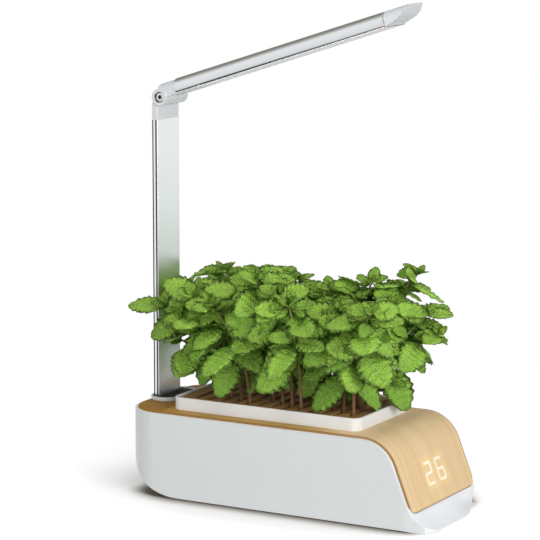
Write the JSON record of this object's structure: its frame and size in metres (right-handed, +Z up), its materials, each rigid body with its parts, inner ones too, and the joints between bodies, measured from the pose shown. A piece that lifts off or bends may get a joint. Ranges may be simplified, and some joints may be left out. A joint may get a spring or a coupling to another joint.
{
  "type": "countertop hydroponic garden",
  "caption": "Countertop hydroponic garden: white tub, bent wooden cover, lift-out tray of mint and a folding LED lamp on a flat post.",
  "frame": {"origin": "on the supporting surface below the middle of the tub's length and width", "axes": "+X from the lamp post towards the display end, +Y across, +Z up"},
  "size_m": [0.281, 0.1402, 0.4081],
  "materials": {
    "shell_white": "satin white moulded ABS",
    "plate_white": "matt white moulded ABS",
    "foot_rubber": "dark grey rubber",
    "screw_steel": "zinc-plated steel",
    "tank_plastic": "translucent natural polypropylene",
    "pump_plastic": "black pump housing",
    "tube_silicone": "clear silicone tube",
    "black_plastic": "black plastic",
    "board_green": "green circuit board",
    "cover_wood": "clear-lacquered light bamboo veneer",
    "lamp_white": "satin white plastic",
    "gasket_rubber": "black rubber seal",
    "bracket_plastic": "grey moulded plastic",
    "post_aluminium": "polished anodised aluminium",
    "strip_mirror": "polished reflective strip",
    "washer_brass": "brass",
    "digit_light": "lit light guide",
    "tray_white": "satin white moulded plastic",
    "grille_bamboo": "oiled bamboo",
    "basket_plastic": "black net basket",
    "sponge": "dark growing sponge",
    "mint_green": "living mint leaves and stems",
    "bolt_chrome": "chromed steel",
    "arm_aluminium": "polished anodised aluminium",
    "led_board_white": "white circuit board",
    "led_phosphor": "yellow LED phosphor",
    "diffuser_milky": "milky acrylic",
    "indicator_red": "red indicator lens"
  },
  "bodies": {
    "base": {"body_shell": "shell_white", "bottom_plate": "plate_white", "rubber_feet": "foot_rubber", "base_screws": "screw_steel", "water_tank": "tank_plastic", "pump": "pump_plastic", "riser_tube": "tube_silicone", "power_inlet": "black_plastic", "display_bracket": "bracket_plastic", "control_board": "board_green", "display_module": "black_plastic", "rear_deck": "cover_wood", "lamp_collar": "lamp_white", "collar_gasket": "gasket_rubber", "lamp_bracket": "bracket_plastic", "lamp_screws": "screw_steel", "lamp_post": "post_aluminium", "mirror_strip": "strip_mirror", "post_cap": "lamp_white", "friction_washers": "washer_brass"},
    "cover": {"front_cover": "cover_wood", "cover_liner": "plate_white", "display_digits": "digit_light"},
    "tray": {"tray_frame": "tray_white", "grille": "grille_bamboo", "grow_basket": "basket_plastic", "grow_sponge": "sponge", "mint_plants": "mint_green"},
    "arm": {"hinge_yoke": "lamp_white", "hinge_bolt": "bolt_chrome", "hinge_nut": "bolt_chrome", "arm_housing": "arm_aluminium", "led_board": "led_board_white", "led_chips": "led_phosphor", "diffuser": "diffuser_milky", "slot_trim": "gasket_rubber", "indicator_led": "indicator_red", "arm_tip_cap": "lamp_white", "arm_screws": "screw_steel"}
  },
  "joints": [
    {"name": "arm_tilt", "type": "hinge", "parent": "base", "child": "arm", "pos_m": [-0.1288, 0, 0.3243], "axis": [0, -1, 0], "range_deg": [-17.8, 72.2]},
    {"name": "cover_lift", "type": "slide", "parent": "base", "child": "cover", "axis": [0, 0, 1], "range_m": [0, 0.03]},
    {"name": "tray_lift", "type": "slide", "parent": "cover", "child": "tray", "axis": [0, 0, 1], "range_m": [0, 0.05]}
  ]
}
